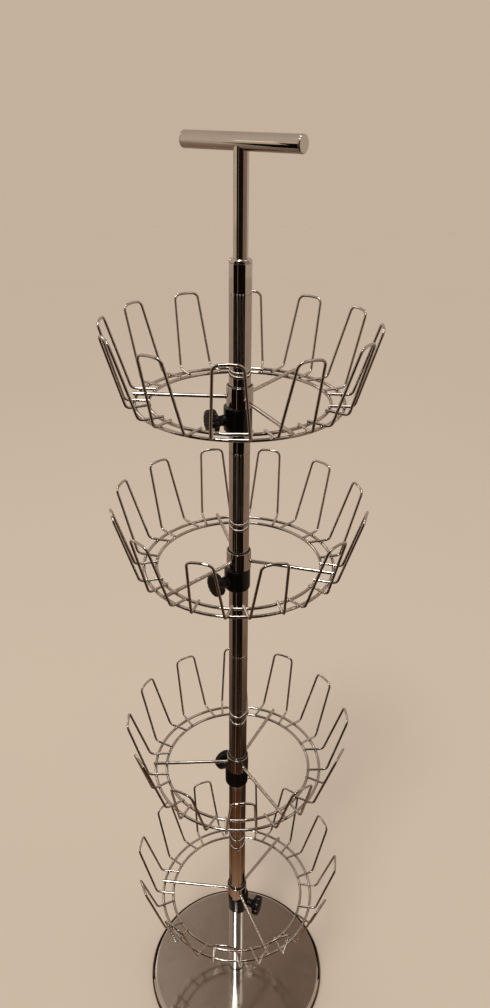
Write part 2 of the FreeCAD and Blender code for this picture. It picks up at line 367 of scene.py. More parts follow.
pole_radius = 12.7
pole_wall = 1.2
pole_foot = 16.0
pole_edge = 0.25
pole_section_length = 400.0
foot_ring_radius = 13.5
pole_chrome = plated(
    "pole_chrome", (0.57, 0.54, 0.51, 1), (0.50, 0.47, 0.44, 1), 0.02, 0.05, 55.0, 140.0,
    0.00001)
ring_chrome = plated(
    "ring_chrome", (0.13, 0.115, 0.10, 1), (0.06, 0.05, 0.045, 1), 0.10, 0.20, 55.0, 140.0,
    0.00001)
ring_at_foot = turned_piece("foot_ring_turned", [
    (foot_ring_radius, cover_top, 0.3),
    (foot_ring_radius, pole_foot, 0.7),
    (cover_hole_radius, pole_foot, 0),
    (cover_hole_radius, cover_top, 0)], ring_chrome)
stands_for(ring_at_foot, "foot_ring", "stand")
for number, section in enumerate(("lower", "middle", "upper")):
    section_foot = pole_foot + number * pole_section_length
    section_head = section_foot + pole_section_length
    tube = turned_piece("pole_tube_" + section, [
        (pole_radius, section_foot, pole_edge),
        (pole_radius, section_head, pole_edge),
        (pole_radius - pole_wall, section_head, 0),
        (pole_radius - pole_wall, section_foot, 0)], pole_chrome)
    stands_for(tube, "pole_" + section, "stand")

# ------------------------------
# POLE CAP
# A turned and chromed steel cap with a rounded shoulder, pressed into the top of the pole. The
# thinner stem of the handle stands in it.
# ------------------------------

pole_head = pole_foot + 3 * pole_section_length
cap_foot = pole_head + 0.15
cap_top = pole_head + 4.6
cap_shoulder = 2.6
cap_spigot = 25.0
stem_radius = 8.2
cap = turned_piece("pole_cap_turned", [
    (pole_radius, cap_foot, 0.35),
    (pole_radius, cap_top, cap_shoulder),
    (stem_radius, cap_top, 0.4),
    (stem_radius, pole_head - cap_spigot, 0),
    (pole_radius - pole_wall, pole_head - cap_spigot, 0),
    (pole_radius - pole_wall, cap_foot, 0)], pole_chrome)
stands_for(cap, "pole_cap", "stand")

# ------------------------------
# HANDLE
# A stem and a cross bar of chromed steel tube, the stem's end coped to the bar and welded. Flat
# caps with softened edges are pressed into both ends of the bar.
# ------------------------------

bar_radius = 9.0
bar_wall = 1.5
bar_edge = 0.15
bar_half_length = 73.0
bar_height = cap_top + 112.0
bar_azimuth = math.radians(-35.0)
end_cap_thickness = 2.0
end_cap_edge = 1.2
end_cap_spigot = 10.0
along_bar = (
    Matrix.Translation((0, 0, bar_height / 1000)) @ Matrix.Rotation(bar_azimuth, 4, "Z")
    @ Matrix.Rotation(math.radians(90), 4, "Y"))
bar_end = bar_half_length - end_cap_thickness
bar = turned_piece("handle_bar_tube", [
    (bar_radius, -bar_end, bar_edge),
    (bar_radius, bar_end, bar_edge),
    (bar_radius - bar_wall, bar_end, 0),
    (bar_radius - bar_wall, -bar_end, 0)], pole_chrome, along_bar)
stands_for(bar, "handle_bar", "stand")


def joined(name, meshes, material):
    """One piece from several separate meshes."""
    shape = bmesh.new()
    for mesh in meshes:
        shape.from_mesh(mesh)
        bpy.data.meshes.remove(mesh)
    mesh = bpy.data.meshes.new(name)
    shape.to_mesh(mesh)
    shape.free()
    return new_piece(name, mesh, material)


end_cap_outline = [
    (bar_radius, bar_end, bar_edge), (bar_radius, bar_half_length, end_cap_edge),
    (0, bar_half_length, 0), (0, bar_end - end_cap_spigot, 0),
    (bar_radius - bar_wall, bar_end - end_cap_spigot, 0), (bar_radius - bar_wall, bar_end, 0)]
turned_round = Matrix.Rotation(math.radians(180), 4, "X")
caps = joined("handle_end_caps_pair", [
    turned_mesh("cap_right", end_cap_outline, along_bar, round_segments),
    turned_mesh("cap_left", end_cap_outline, along_bar @ turned_round, round_segments)],
    pole_chrome)
stands_for(caps, "handle_end_caps", "stand")
refinish("handle_stem", pole_chrome)

# ------------------------------
# TIERS
# Four alike: a basket that turns on the pole, carried by a clamp collar below it. The height of
# a ring plane is over the floor; azimuths are of the first spoke and of the knob.
# ------------------------------

tiers = {
    "top": {"height": 1062.0, "basket": -64.0, "knob": 204.0},
    "upper": {"height": 844.0, "basket": -15.5, "knob": 216.0},
    "lower": {"height": 494.0, "basket": -57.5, "knob": 126.0},
    "bottom": {"height": 209.0, "basket": -66.5, "knob": 340.5}}


def shape_tree(name, about_pole=True, **inputs):
    """An empty geometry tree with inputs named by kind, besides a path, place and material."""
    tree = bpy.data.node_groups.new(name, "GeometryNodeTree")
    labels = [("Path", "Geometry"), ("Material", "Material")]
    if about_pole:
        labels += [("Copies", "Int"), ("Azimuth", "Float"), ("Height", "Float")]
    labels += [(label, kind) for kind, group in inputs.items() for label in group]
    for label, kind in labels:
        tree.interface.new_socket(label, in_out="INPUT", socket_type="NodeSocket" + kind)
    tree.interface.new_socket("Shape", in_out="OUTPUT", socket_type="NodeSocketGeometry")
    given = tree.nodes.new("NodeGroupInput").outputs
    return tree, given, tree.nodes.new("NodeGroupOutput").inputs


def circle(tree, radius, points):
    """A round line, as a path or as the section of a wire."""
    return put(tree, "GeometryNodeCurvePrimitiveCircle", {"mode": "RADIUS"}, Resolution=points,
               Radius=radius).outputs["Curve"]


def around_pole(tree, given, shape):
    """Copies of a shape at equal steps about the pole, turned and raised to their place."""
    index = put(tree, "GeometryNodeInputIndex").outputs["Index"]
    step = reckon(tree, "DIVIDE", 2 * math.pi, given["Copies"])
    turn = put(tree, "ShaderNodeCombineXYZ", Z=reckon(tree, "MULTIPLY", index, step))
    spots = put(tree, "GeometryNodePoints", Count=given["Copies"])
    copies = put(tree, "GeometryNodeInstanceOnPoints", Points=spots.outputs["Points"],
                 Instance=shape, Rotation=turn.outputs["Vector"])
    solid = put(tree, "GeometryNodeRealizeInstances", Geometry=copies.outputs["Instances"])
    azimuth = put(tree, "ShaderNodeCombineXYZ", Z=given["Azimuth"])
    height = put(tree, "ShaderNodeCombineXYZ", Z=given["Height"])
    return put(tree, "GeometryNodeTransform", Geometry=solid.outputs["Geometry"],
               Translation=height.outputs["Vector"],
               Rotation=azimuth.outputs["Vector"]).outputs["Geometry"]


def end_tree(tree, given, result, shape):
    """Ends a tree in its material."""
    finished = put(tree, "GeometryNodeSetMaterial", Geometry=shape, Material=given["Material"])
    feed(tree, result["Shape"], finished.outputs["Geometry"])


def path_mesh(name, corners, values, label):
    """An open line of corners in millimetres, with one value in millimetres at each."""
    mesh = bpy.data.meshes.new(name)
    mesh.from_pydata([[x / 1000 for x in corner] for corner in corners],
                     [(step, step + 1) for step in range(len(corners) - 1)], [])
    attribute = mesh.attributes.new(label, "FLOAT", "POINT")
    for item, value in zip(attribute.data, values):
        item.value = value / 1000
    return mesh


def grown(name, tree, material, path=None, **sizes):
    """A plain mesh piece grown by a geometry tree from its path and named sizes."""
    carrier = bpy.data.objects.new(name + "_carrier", path or bpy.data.meshes.new(name))
    bpy.context.scene.collection.objects.link(carrier)
    growth = carrier.modifiers.new("growth", "NODES")
    growth.node_group = tree
    for item in tree.interface.items_tree:
        if item.item_type != "SOCKET" or item.in_out != "INPUT":
            continue
        label = item.name.replace(" ", "_").lower()
        if label in sizes:
            growth[item.identifier] = sizes[label]
        elif item.name == "Material":
            growth[item.identifier] = material
    seen = carrier.evaluated_get(bpy.context.evaluated_depsgraph_get())
    mesh = bpy.data.meshes.new_from_object(seen)
    mesh.name = name
    carrier.modifiers.remove(growth)
    bpy.data.objects.remove(carrier)
    return new_piece(name, mesh, material)


def basket_place(tier):
    """The azimuth of a basket's first spoke and the height of its ring plane."""
    return {"azimuth": math.radians(tier["basket"]), "height": tier["height"] / 1000}


# ------------------------------
# CLAMP COLLARS
# A moulded black collar on the pole under each basket, which the hub stands on. It is thicker on
# the side of its screw, its lower edge is well rounded, and a round boss takes the screw.
# ------------------------------

collar_radius = 16.76
collar_offset = 2.3
collar_top = -6.8
collar_bottom = -37.2
collar_foot = 3.5
collar_rim = 0.5
collar_bore = 12.76
screw_height = -22.0
boss_radius = 6.75
boss_start = 10.0
boss_reach = 22.06
boss_edge = 0.7
insert_radius = 4.5
insert_length = 6.5
screw_bore = 3.05
screw_bore_start = 8.0
tool_overrun = 2.0
collar_plastic = moulded(
    "collar_plastic", (0.0022, 0.0020, 0.0019, 1), (0.007, 0.006, 0.0055, 1), (0.12, 0.22), 2600.0,
    0.00003, 0.27)


def outward_of(tier):
    """The place of a shape made along Z, put along the tier's clamp screw."""
    return (
        Matrix.Translation((0, 0, (tier["height"] + screw_height) / 1000))
        @ Matrix.Rotation(math.radians(tier["knob"]), 4, "Z")
        @ Matrix.Rotation(math.radians(90), 4, "Y"))


def raised_to(tier, aside=0.0):
    """The place of an upright shape at the tier's ring plane, set aside toward the knob."""
    toward_knob = math.radians(tier["knob"])
    return Matrix.Translation((
        aside * math.cos(toward_knob) / 1000, aside * math.sin(toward_knob) / 1000,
        tier["height"] / 1000))


def cut_or_joined(piece, tool, operation):
    """Joins a tool shape to a piece or cuts it away, and leaves a plain mesh."""
    change = piece.modifiers.new("change", "BOOLEAN")
    change.operation = operation
    change.solver = "EXACT"
    change.object = tool
    seen = piece.evaluated_get(bpy.context.evaluated_depsgraph_get())
    mesh = bpy.data.meshes.new_from_object(seen)
    piece.modifiers.remove(change)
    piece.data = mesh
    bpy.data.objects.remove(tool)


def rod_tool(radius, near, far, place, edge=0.0):
    """A closed round rod along Z, as a tool for joining or cutting."""
    shape = bmesh.new()
    segments = 72
    rims = []
    for drop, shrink in ((0.0, edge), (0.3 * edge, 0.3 * edge), (edge, 0.0)):
        rims.append((far - drop, radius - shrink))
    levels = [(near, radius)] + rims[::-1] if edge else [(near, radius), (far, radius)]
    circles = [[shape.verts.new((
        size * math.cos(2 * math.pi * step / segments) / 1000,
        size * math.sin(2 * math.pi * step / segments) / 1000, level / 1000))
        for step in range(segments)] for level, size in levels]
    for low, high in zip(circles, circles[1:]):
        for step in range(segments):
            beside = (step + 1) % segments
            shape.faces.new((low[step], low[beside], high[beside], high[step]))
    shape.faces.new(circles[0][::-1])
    shape.faces.new(circles[-1])
    bmesh.ops.recalc_face_normals(shape, faces=shape.faces)
    shape.transform(place)
    mesh = bpy.data.meshes.new("rod_tool")
    shape.to_mesh(mesh)
    shape.free()
    tool = bpy.data.objects.new("rod_tool", mesh)
    bpy.context.scene.collection.objects.link(tool)
    return tool


for tier_name, tier in tiers.items():
    collar = turned_piece("collar_" + tier_name, [
        (0, collar_bottom, 0),
        (collar_radius, collar_bottom, collar_foot),
        (collar_radius, collar_top, collar_rim),
        (0, collar_top, 0)], collar_plastic, raised_to(tier, collar_offset))
    screw_place = outward_of(tier)
    boss = rod_tool(boss_radius, boss_start, boss_reach, screw_place, boss_edge)
    cut_or_joined(collar, boss, "UNION")
    for radius, near, far, place in (
            (collar_bore, collar_bottom - tool_overrun, collar_top + tool_overrun,
             raised_to(tier)),
            (screw_bore, screw_bore_start, boss_reach + tool_overrun, screw_place),
            (insert_radius, boss_reach - insert_length, boss_reach + tool_overrun,
             screw_place)):
        cut_or_joined(collar, rod_tool(radius, near, far, place), "DIFFERENCE")
    shaded(collar.data)
    stands_for(collar, "clamp_collar_" + tier_name, tier_name + "_clamp")

# ------------------------------
# CLAMP SCREWS
# A turned brass insert in each boss, a steel stud that runs in it, and a nylon pad that the
# stud presses on the pole.
# ------------------------------

brass = clouded_metal(
    "turned_brass", 420.0, 3.0, [(0.0, (0.52, 0.35, 0.14, 1)), (1.0, (0.78, 0.60, 0.30, 1))],
    (0.18, 0.42))
nylon = moulded(
    "pad_nylon", (0.006, 0.0055, 0.005, 1), (0.018, 0.016, 0.015, 1), (0.3, 0.45), 1800.0, 0.00005,
    0.25)
for tier_name in tiers:
    refinish("clamp_insert_" + tier_name, brass)
    refinish("clamp_stud_" + tier_name, zinc)
    refinish("clamp_pad_" + tier_name, nylon)

# ------------------------------
# CLAMP KNOBS
# A black moulded thumb knob on each stud: a fluted rim for the fingers, a flat face with a
# shallow dish, a conical back, and a short neck toward the boss.
# ------------------------------

knob_radius = 15.0
knob_face = 40.06
knob_rim_start = 31.06
knob_cone_start = 27.06
knob_neck_radius = 6.25
knob_neck_start = 22.86
knob_edge = 1.8
flute_count = 16
flute_depth = 1.0
points_per_flute = 14.0
flute_roundness = 0.75
knob_sharp_angle = 30.0
knob_dish_depth = 0.8
knob_dish_rim = 0.80
knob_dish_foot = 0.74
stud_hole_radius = 3.0
stud_hole_end = 36.86


def fluted_tree():
    """A fluted bar: a round section with hollows, swept along a path that swells it."""
    tree, given, result = shape_tree(
        "fluted bar", about_pole=False, Float=["Radius", "Depth"], Int=["Flutes"])
    steps = reckon(tree, "MULTIPLY", given["Flutes"], points_per_flute)
    around = put(tree, "GeometryNodeSplineParameter").outputs["Factor"]
    phase = reckon(tree, "MULTIPLY", reckon(
        tree, "MULTIPLY", around, given["Flutes"]), 2 * math.pi)
    hollow = reckon(tree, "POWER", reckon(
        tree, "MAXIMUM", reckon(tree, "COSINE", phase), 0.0), flute_roundness)
    share = reckon(tree, "DIVIDE", reckon(
        tree, "MULTIPLY", hollow, given["Depth"]), given["Radius"])
    position = put(tree, "GeometryNodeInputPosition").outputs["Position"]
    inward = put(tree, "ShaderNodeVectorMath", {"operation": "SCALE"}, Vector=position,
                 Scale=reckon(tree, "SUBTRACT", 1.0, share))
    section = put(tree, "GeometryNodeSetPosition", Geometry=circle(tree, given["Radius"], steps),
                  Position=inward.outputs["Vector"])
    swell = put(tree, "GeometryNodeInputNamedAttribute", {"data_type": "FLOAT"}, Name="swell")
    path = put(tree, "GeometryNodeMeshToCurve", Mesh=given["Path"])
    factor = reckon(tree, "MULTIPLY", swell.outputs["Attribute"], 1000.0)
    sweep = put(tree, "GeometryNodeCurveToMesh", Curve=path.outputs["Curve"],
                Profile_Curve=section.outputs["Geometry"], Scale=factor, Fill_Caps=True)
    solid = put(tree, "GeometryNodeRealizeInstances", Geometry=sweep.outputs["Mesh"])
    end_tree(tree, given, result, solid.outputs["Geometry"])
    return tree


fluted_bar = fluted_tree()
knob_plastic = moulded(
    "knob_plastic", (0.0028, 0.0025, 0.0023, 1), (0.010, 0.0085, 0.0075, 1), (0.14, 0.25), 2200.0,
    0.00003, 0.24)


def knob_stations():
    """Distances out from the pole and the knob's size there, as a share of its full radius."""
    stations = [(knob_neck_start, knob_neck_radius / knob_radius),
                (knob_cone_start - 0.4, knob_neck_radius / knob_radius),
                (knob_cone_start + 0.2, (knob_neck_radius + 0.35) / knob_radius),
                (knob_rim_start - 0.5, 0.93), (knob_rim_start, 0.985), (knob_rim_start + 0.6, 1.0)]
    arc_steps = 5
    for step in range(arc_steps + 1):
        turn = math.pi / 2 * step / arc_steps
        stations.append((knob_face - knob_edge + knob_edge * math.sin(turn),
                         1 - knob_edge * (1 - math.cos(turn)) / knob_radius))
    stations.append((knob_face, knob_dish_rim))
    stations.append((knob_face - knob_dish_depth, knob_dish_foot))
    stations.append((knob_face - knob_dish_depth, 0.02))
    return stations


for tier_name, tier in tiers.items():
    stations = knob_stations()
    line = path_mesh("knob_line", [(0, 0, out) for out, share in stations],
                     [share for out, share in stations], "swell")
    knob = grown("knob_" + tier_name, fluted_bar, knob_plastic, line, radius=knob_radius / 1000,
                 flutes=flute_count, depth=flute_depth / 1000)
    screw_place = outward_of(tier)
    knob.data.transform(screw_place)
    cut_or_joined(knob, rod_tool(
        stud_hole_radius, knob_neck_start - 1, stud_hole_end, screw_place), "DIFFERENCE")
    shaded(knob.data, knob_sharp_angle)
    stands_for(knob, "clamp_knob_" + tier_name, tier_name + "_knob")

# ------------------------------
# HUBS
# A short sleeve of chromed steel tube in the middle of each basket, its rims softened, over a
# black nylon bush that turns on the pole and ends just below the upper rim.
# ------------------------------

hub_radius = 15.66
hub_wall = 1.2
hub_top = 18.5
hub_bottom = -6.8
hub_edge = 0.4
for tier_name, tier in tiers.items():
    hub = turned_piece("hub_sleeve_" + tier_name, [
        (hub_radius, hub_bottom, hub_edge), (hub_radius, hub_top, hub_edge),
        (hub_radius - hub_wall, hub_top, hub_edge), (hub_radius - hub_wall, hub_bottom, 0.2)],
        pole_chrome, raised_to(tier))
    stands_for(hub, "hub_" + tier_name, tier_name + "_basket")
    refinish("hub_bush_" + tier_name, nylon)

# ------------------------------
# RINGS
# Two rings of 4 mm steel wire, each bent round, butt welded and chromed with the basket.
# ------------------------------

wire_chrome = plated(
    "wire_chrome", (0.54, 0.505, 0.47, 1), (0.45, 0.415, 0.38, 1), 0.03, 0.04, 130.0, 420.0,
    0.000005)
inner_ring_radius = 104.5
outer_ring_radius = 120.5
ring_wire = 4.0
ring_steps = 192
ring_sides = 16


def ring_tree():
    """A round wire bent to a circle about the pole."""
    tree, given, result = shape_tree("wire ring", Float=["Radius", "Wire diameter"])
    wire = put(tree, "GeometryNodeCurveToMesh", Curve=circle(tree, given["Radius"], ring_steps),
               Profile_Curve=circle(
                   tree, reckon(tree, "DIVIDE", given["Wire diameter"], 2.0), ring_sides))
    end_tree(tree, given, result, around_pole(tree, given, wire.outputs["Mesh"]))
    return tree


wire_ring = ring_tree()
for tier_name, tier in tiers.items():
    for ring_name, ring_radius in (("inner", inner_ring_radius), ("outer", outer_ring_radius)):
        ring = grown(
            ring_name + "_ring_wire_" + tier_name, wire_ring, wire_chrome,
            radius=ring_radius / 1000, wire_diameter=ring_wire / 1000, copies=1,
            **basket_place(tier))
        stands_for(ring, ring_name + "_ring_" + tier_name, tier_name + "_basket")

# ------------------------------
# SPOKES
# Three straight rods of 4.5 mm wire from the hub out over both rings, welded at each crossing,
# with a small fillet of weld where each meets the hub.
# ------------------------------

spoke_count = 3
spoke_wire = 4.5
spoke_start = 15.06
spoke_tip = 123.7
spoke_sides = 20
bend_points = 8
weld_sink = 0.3
above_ring = ring_wire / 2 - weld_sink
rod_height = above_ring + spoke_wire / 2


def bent_wire_tree():
    """Round wires along a bent path, its corners rounded by their own radii, about the pole."""
    tree, given, result = shape_tree("bent wires", Float=["Wire diameter"], Int=["Sides"])
    path = put(tree, "GeometryNodeMeshToCurve", Mesh=given["Path"])
    bend = put(tree, "GeometryNodeInputNamedAttribute", {"data_type": "FLOAT"}, Name="bend")
    rounded = put(tree, "GeometryNodeFilletCurve", {"mode": "POLY"}, Curve=path.outputs["Curve"],
                  Radius=bend.outputs["Attribute"], Count=bend_points)
    section = circle(tree, reckon(tree, "DIVIDE", given["Wire diameter"], 2.0), given["Sides"])
    wire = put(tree, "GeometryNodeCurveToMesh", Curve=rounded.outputs["Curve"],
               Profile_Curve=section, Fill_Caps=True)
    end_tree(tree, given, result, around_pole(tree, given, wire.outputs["Mesh"]))
    return tree


bent_wires = bent_wire_tree()
for tier_name, tier in tiers.items():
    line = path_mesh("spoke_line", [(spoke_start, 0, rod_height), (spoke_tip, 0, rod_height)],
                     [0, 0], "bend")
    rods = grown(
        "spoke_rods_" + tier_name, bent_wires, wire_chrome, line,
        wire_diameter=spoke_wire / 1000, sides=spoke_sides, copies=spoke_count,
        **basket_place(tier))
    stands_for(rods, "spokes_" + tier_name, tier_name + "_basket")

# ------------------------------
# HOOKS
# Twelve holders of 3.2 mm wire round each basket. Both feet lie across the two rings; the legs
# lean out and come closer together toward a slightly arched top that a shoe is pushed over.
# ------------------------------

hook_count = 12
hook_wire = 3.2
hook_sides = 14
hook_foot_reach = 103.0
hook_base_radius = 129.5
hook_base_half_width = 20.2
hook_top_radius = 156.0
hook_top_half_width = 15.0
hook_height = 89.0
hook_top_arch = 1.5
hook_foot_bend = 7.0
hook_top_bend = 7.0
arch_margin = 1.4 * hook_top_bend
foot_height = above_ring + hook_wire / 2
foot_end = math.sqrt(hook_foot_reach ** 2 - hook_base_half_width ** 2)
arch_bend = (hook_top_half_width - arch_margin) * hook_top_half_width / hook_top_arch
hook_corners = [
    (foot_end, -hook_base_half_width, foot_height),
    (hook_base_radius, -hook_base_half_width, foot_height),
    (hook_top_radius, -hook_top_half_width, hook_height),
    (hook_top_radius, 0, hook_height + hook_top_arch),
    (hook_top_radius, hook_top_half_width, hook_height),
    (hook_base_radius, hook_base_half_width, foot_height),
    (foot_end, hook_base_half_width, foot_height)]
hook_bends = [0, hook_foot_bend, hook_top_bend, arch_bend, hook_top_bend, hook_foot_bend, 0]
for tier_name, tier in tiers.items():
    line = path_mesh("hook_line", hook_corners, hook_bends, "bend")
    hooks = grown(
        "hook_wires_" + tier_name, bent_wires, wire_chrome, line, wire_diameter=hook_wire / 1000,
        sides=hook_sides, copies=hook_count, **basket_place(tier))
    stands_for(hooks, "hooks_" + tier_name, tier_name + "_basket")

# ------------------------------
# WELDS
# A flattened nugget of metal at each crossing of a foot or spoke with a ring, and a round bead
# where each spoke meets the hub, plated over with the rest of the basket.
# ------------------------------

nugget_radius = 2.1
nugget_flatness = 0.42
root_bead_radius = 2.9


def nugget_tree():
    """A small flattened nugget at each point of a path mesh, repeated about the pole."""
    tree, given, result = shape_tree("weld nuggets", Float=["Radius", "Flatness"])
    nugget = put(tree, "GeometryNodeMeshIcoSphere", Radius=given["Radius"], Subdivisions=2)
    squeeze = put(tree, "ShaderNodeCombineXYZ", X=1.0, Y=1.0, Z=given["Flatness"])
    spots = put(tree, "GeometryNodeInstanceOnPoints", Points=given["Path"],
                Instance=nugget.outputs["Mesh"], Scale=squeeze.outputs["Vector"])
    group = put(tree, "GeometryNodeRealizeInstances", Geometry=spots.outputs["Instances"])
    end_tree(tree, given, result, around_pole(tree, given, group.outputs["Geometry"]))
    return tree


weld_nuggets = nugget_tree()
ring_radii = (inner_ring_radius, outer_ring_radius)
foot_crossings = [
    (math.sqrt(radius ** 2 - hook_base_half_width ** 2), side * hook_base_half_width, above_ring)
    for radius in ring_radii for side in (-1, 1)]
spoke_crossings = [(radius, 0, above_ring) for radius in ring_radii]
spoke_roots = [(hub_radius, 0, rod_height)]
for tier_name, tier in tiers.items():
    for group_name, crossings, count, size, flatness in (
            ("hook_welds_", foot_crossings, hook_count, nugget_radius, nugget_flatness),
            ("spoke_welds_", spoke_crossings, spoke_count, nugget_radius, nugget_flatness),
            ("hub_welds_", spoke_roots, spoke_count, root_bead_radius, 1.0)):
        spots = path_mesh("weld_spots", crossings, [0] * len(crossings), "bend")
        welds = grown(
            group_name + tier_name, weld_nuggets, wire_chrome, spots, radius=size / 1000,
            flatness=flatness, copies=count, **basket_place(tier))
        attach(welds, tier_name + "_basket")

# ------------------------------
# STUDIO
# A plain pale floor under a broad lamp high at the front left. Dark and brown cloths lie and
# stand where only polished metal and plastic can see them, so that chrome shows dark shapes.
# A dark strip beside the base is painted shadow, for the base's edge to mirror.
# ------------------------------

wall_colour = (0.548, 0.441, 0.343, 1)
floor_colour = (0.63, 0.52, 0.415, 1)
high_wall_colour = (0.50, 0.41, 0.33, 1)
air_colour = (0.47, 0.468, 0.465, 1)
floor_radius = 9.0
floor_corners = 72
curtain_reach = 1.8
cloth_level = 0.002
lamp_target_height = 0.6


def floor_finish():
    """Plain pale floor."""
    material, tree, shader, place = finish_of("studio_floor")
    mottle = put(tree, "ShaderNodeTexNoise", Vector=place, Scale=2.0, Detail=2.0)
    shade = tuple(0.97 * part for part in floor_colour[:3]) + (1,)
    feed(tree, shader.inputs["Base Color"], mixed(
        tree, mottle.outputs["Fac"], floor_colour, shade))
    shader.inputs["Roughness"].default_value = 0.9
    shader.inputs["Specular IOR Level"].default_value = 0.08
    return material


floor_mesh = bpy.data.meshes.new("studio_floor")
floor_edge = [(floor_radius * math.cos(math.radians(step * 360 // floor_corners)),
               floor_radius * math.sin(math.radians(step * 360 // floor_corners)), 0)
              for step in range(floor_corners)]
floor_mesh.from_pydata(floor_edge, [], [tuple(range(floor_corners))])
floor = new_piece("studio_floor", floor_mesh, floor_finish())


def cloth_finish(name, tones, fold_range):
    """Cloth whose tone changes with its distance from the tower, in metres, its folds upright."""
    material, tree, shader, place = finish_of(name)
    along = put(tree, "ShaderNodeSeparateXYZ", Vector=place)
    level = put(tree, "ShaderNodeCombineXYZ", X=along.outputs["X"], Y=along.outputs["Y"])
    reach = put(tree, "ShaderNodeVectorMath", {"operation": "LENGTH"},
                Vector=level.outputs["Vector"])
    span = tones[-1][0]
    tone = toned(tree, reckon(tree, "DIVIDE", reach.outputs["Value"], span),
                 [(distance / span, colour + (1,)) for distance, colour in tones])
    folds = put(tree, "ShaderNodeTexNoise", Vector=level.outputs["Vector"], Scale=4.0, Detail=3.0)
    depth = ranged(tree, folds.outputs["Fac"], (0.35, 0.65), fold_range)
    folded = put(tree, "ShaderNodeVectorMath", {"operation": "SCALE"}, Vector=tone, Scale=depth)
    feed(tree, shader.inputs["Base Color"], folded.outputs["Vector"])
    shader.inputs["Roughness"].default_value = 1.0
    shader.inputs["Specular IOR Level"].default_value = 0.0
    return material


def plain_cloth(name, colour, fold_range):
    """Cloth of one tone but for its folds."""
    return cloth_finish(name, [(0.0, colour), (2.0, colour)], fold_range)


def cloth(name, profile, sides, material):
    """A cloth round part of the tower, seen only by polished metal and plastic."""
    points, faces = [], []
    for from_azimuth, to_azimuth in sides:
        steps = 40
        first = len(points)
        for step in range(steps + 1):
            turn = math.radians(from_azimuth + (to_azimuth - from_azimuth) * step / steps)
            for reach, height in profile:
                points.append((reach * math.sin(turn), -reach * math.cos(turn), height))
        for step in range(steps):
            for row in range(len(profile) - 1):
                corner = first + step * len(profile) + row
                across = corner + len(profile)
                faces.append((corner, corner + 1, across + 1, across))
    mesh = bpy.data.meshes.new(name)
    mesh.from_pydata(points, [], faces)
    piece = new_piece(name, mesh, material)
    piece.visible_camera = False
    piece.visible_diffuse = False
    piece.visible_shadow = False
    piece.visible_transmission = False


near_cloth = cloth_finish("near_cloth", [
    (0.0, (0.42, 0.27, 0.17)), (0.152, (0.42, 0.27, 0.17)), (0.19, (0.34, 0.19, 0.11)),
    (0.24, (0.24, 0.12, 0.06)), (0.28, (0.18, 0.075, 0.034)), (0.38, (0.125, 0.047, 0.019)),
    (0.46, (0.08, 0.035, 0.017)), (0.5, (0.05, 0.024, 0.013))], (0.85, 1.15))
front_cloth = cloth_finish("front_cloth", [
    (0.0, (0.05, 0.024, 0.013)), (0.5, (0.05, 0.024, 0.013)), (0.65, (0.026, 0.013, 0.007)),
    (1.0, (0.010, 0.006, 0.004)), (2.0, (0.009, 0.006, 0.004))], (0.4, 1.9))
side_cloth = cloth_finish("side_cloth", [
    (0.0, (0.30, 0.17, 0.10)), (0.19, (0.24, 0.13, 0.07)), (0.24, (0.16, 0.07, 0.032)),
    (0.34, (0.05, 0.025, 0.015)), (0.52, (0.03, 0.018, 0.011)), (1.0, (0.26, 0.17, 0.12)),
    (2.0, (0.37, 0.26, 0.195)), (3.0, (0.45, 0.335, 0.255)), (6.0, (0.54, 0.42, 0.325))],
    (0.85, 1.15))
stem_cloth = plain_cloth("stem_cloth", (0.020, 0.012, 0.009), (0.4, 1.9))
brown_cloth = plain_cloth("brown_cloth", (0.065, 0.041, 0.032), (0.6, 1.4))
rose_cloth = plain_cloth("rose_cloth", (0.45, 0.33, 0.275), (0.9, 1.1))
# Dark cloth for the curb behind the base, and for a painted contact shadow beside the base.
dark_curb = plain_cloth("dark_curb", (0.02, 0.012, 0.008), (0.7, 1.3))
cloth("cloth_near", [(reach, cloth_level) for reach in (0.152, 0.3, 0.5)],
      [(-78, -27.4), (-25.6, 48)], near_cloth)
cloth("cloth_front", [(reach, cloth_level) for reach in (0.5, 1.0, curtain_reach)],
      [(-78, -27.4), (-25.6, 50)], front_cloth)
for cloth_name, foot, head, sides, material in (
        ("curtain_foot", cloth_level, 0.45, [(-76, -27.4), (-25.6, 50)], front_cloth),
        ("curtain_front", 0.45, 0.89, [(-73, -27.4), (-25.6, 49)], front_cloth),
        ("curtain_stem", 0.89, 1.4, [(-66, -38), (-36, 31)], stem_cloth),
        ("curtain_border", 1.4, 2.3, [(-62, -36), (-33, 31)], brown_cloth),
        ("curtain_side", 0.89, 2.3, [(31, 98)], rose_cloth)):
    cloth(cloth_name, [(curtain_reach, foot), (curtain_reach, head)], sides, material)
cloth("cloth_sides", [(reach, 0.0015) for reach in (0.152, 0.5, 1.0, 2.5, 6.0)],
      [(50, 165), (165, 282)], side_cloth)
cloth("curb_behind", [(0.175, 0.002), (0.176, 0.04)], [(85, 180), (180, 275)], dark_curb)
# Painted contact shadow: a dark strip on the floor at the base's left and right, seen only in the
# base's edge.
cloth("shade_at_base", [(0.149, 0.0024), (0.163, 0.0024)], [(-112, -52), (52, 112)], dark_curb)


def toward(azimuth, elevation):
    """A direction from its angle off the front, to the right, and its angle over the floor."""
    around, over = math.radians(azimuth), math.radians(elevation)
    return Vector((math.sin(around) * math.cos(over), -math.cos(around) * math.cos(over),
                   math.sin(over)))


def far_lamp(name, azimuth, elevation, spread, strength, colour, mirrored=True):
    """A large far lamp, even over the whole floor. Spread is how wide it looks, in degrees.

    Where it isn't mirrored, polished metal and plastic are lit by it but don't show it."""
    light = bpy.data.lights.new(name, "SUN")
    light.angle = math.radians(spread)
    light.energy = strength
    light.color = colour
    holder = bpy.data.objects.new(name, light)
    holder.rotation_mode = "QUATERNION"
    holder.rotation_quaternion = (-toward(azimuth, elevation)).to_track_quat("-Z", "Y")
    holder.visible_glossy = mirrored
    bpy.context.scene.collection.objects.link(holder)


